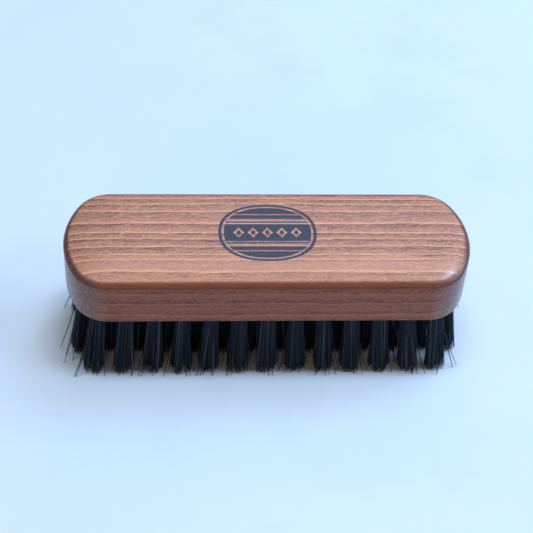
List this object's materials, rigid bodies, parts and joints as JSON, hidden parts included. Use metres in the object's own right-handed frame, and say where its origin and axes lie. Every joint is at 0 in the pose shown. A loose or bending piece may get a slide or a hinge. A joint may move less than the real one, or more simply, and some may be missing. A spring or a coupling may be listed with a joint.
{
  "type": "suede brush",
  "caption": "Rounded block of stained wood with staggered rows of stiff dark bristle tufts that fan outwards, for brushing suede and other leather by hand.",
  "frame": {"origin": "centre of the rectangle that the brush covers, on the plane of the bristle tips that it stands on", "axes": "+X along the block's length, +Y across it, +Z from the bristle tips up through the block's flat top"},
  "size_m": [0.13, 0.042, 0.043],
  "materials": {
    "stained_wood": "reddish-brown stain under satin lacquer",
    "bristle": "blue-black stiff bristle with a faint sheen"
  },
  "bodies": {
    "root": {"back_row_tuft_01": "bristle", "back_row_tuft_02": "bristle", "back_row_tuft_03": "bristle", "back_row_tuft_04": "bristle", "back_row_tuft_05": "bristle", "back_row_tuft_06": "bristle", "back_row_tuft_07": "bristle", "back_row_tuft_08": "bristle", "back_row_tuft_09": "bristle", "back_row_tuft_10": "bristle", "back_row_tuft_11": "bristle", "back_row_tuft_12": "bristle", "back_row_tuft_13": "bristle", "block": "stained_wood", "fourth_row_tuft_01": "bristle", "fourth_row_tuft_02": "bristle", "fourth_row_tuft_03": "bristle", "fourth_row_tuft_04": "bristle", "fourth_row_tuft_05": "bristle", "fourth_row_tuft_06": "bristle", "fourth_row_tuft_07": "bristle", "fourth_row_tuft_08": "bristle", "fourth_row_tuft_09": "bristle", "fourth_row_tuft_10": "bristle", "fourth_row_tuft_11": "bristle", "fourth_row_tuft_12": "bristle", "fourth_row_tuft_13": "bristle", "fourth_row_tuft_14": "bristle", "front_row_tuft_01": "bristle", "front_row_tuft_02": "bristle", "front_row_tuft_03": "bristle", "front_row_tuft_04": "bristle", "front_row_tuft_05": "bristle", "front_row_tuft_06": "bristle", "front_row_tuft_07": "bristle", "front_row_tuft_08": "bristle", "front_row_tuft_09": "bristle", "front_row_tuft_10": "bristle", "front_row_tuft_11": "bristle", "front_row_tuft_12": "bristle", "front_row_tuft_13": "bristle", "middle_row": "bristle", "second_row_tuft_01": "bristle", "second_row_tuft_02": "bristle", "second_row_tuft_03": "bristle", "second_row_tuft_04": "bristle", "second_row_tuft_05": "bristle", "second_row_tuft_06": "bristle", "second_row_tuft_07": "bristle", "second_row_tuft_08": "bristle", "second_row_tuft_09": "bristle", "second_row_tuft_10": "bristle", "second_row_tuft_11": "bristle", "second_row_tuft_12": "bristle", "second_row_tuft_13": "bristle", "second_row_tuft_14": "bristle"}
  },
  "joints": []
}
